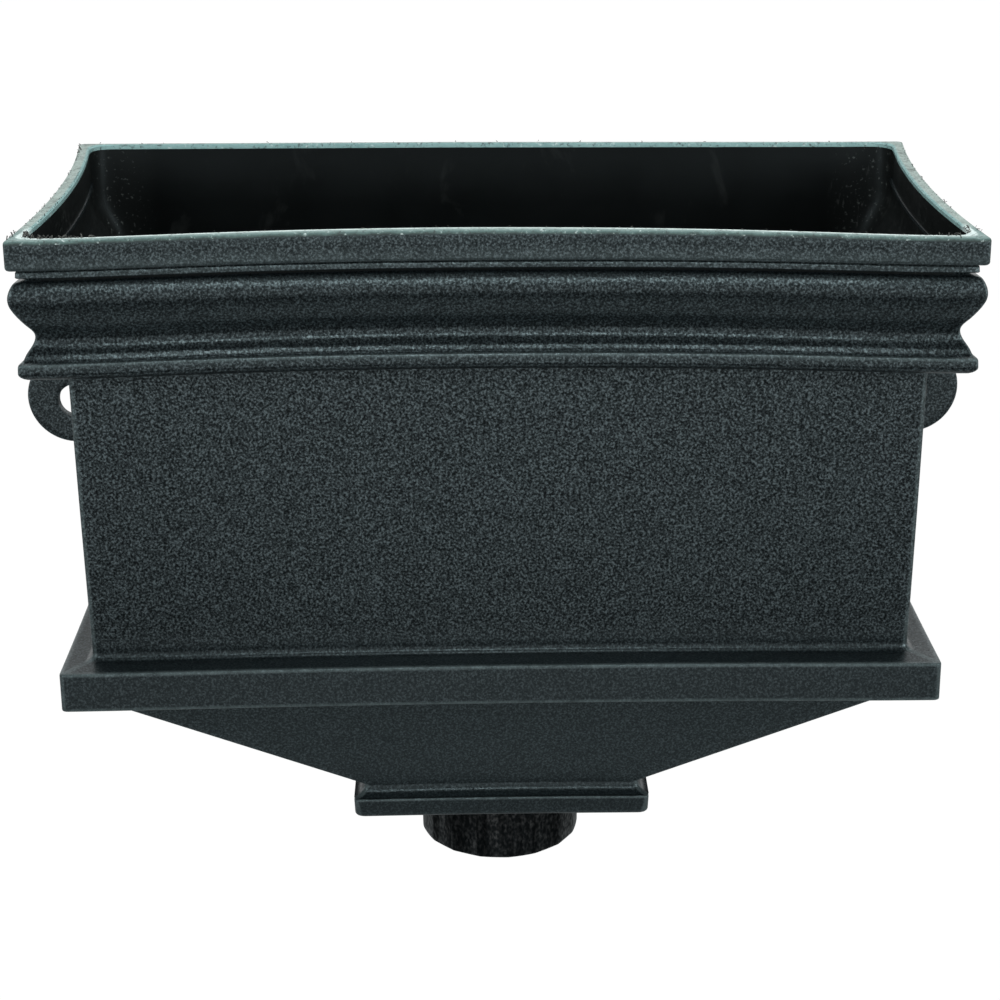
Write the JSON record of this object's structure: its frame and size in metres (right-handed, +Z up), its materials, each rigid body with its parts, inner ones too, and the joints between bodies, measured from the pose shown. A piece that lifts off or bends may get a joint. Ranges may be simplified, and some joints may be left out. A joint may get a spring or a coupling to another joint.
{
  "type": "downpipe hopper head",
  "caption": "Rectangular rainwater hopper head with a concave moulded cornice rim, plain box, ledge, hipped funnel, round outlet spigot and side lugs for wall fixings.",
  "frame": {"origin": "midway between the two fixing holes, on the wall plane", "axes": "+X to the right seen from the front, +Y into the wall, +Z up; the front faces -Y"},
  "size_m": [0.4224, 0.18, 0.2855],
  "materials": {
    "textured_plastic": "fine cast grain outside, smooth inside"
  },
  "bodies": {
    "root": {"hopper_head": "textured_plastic"}
  },
  "joints": []
}
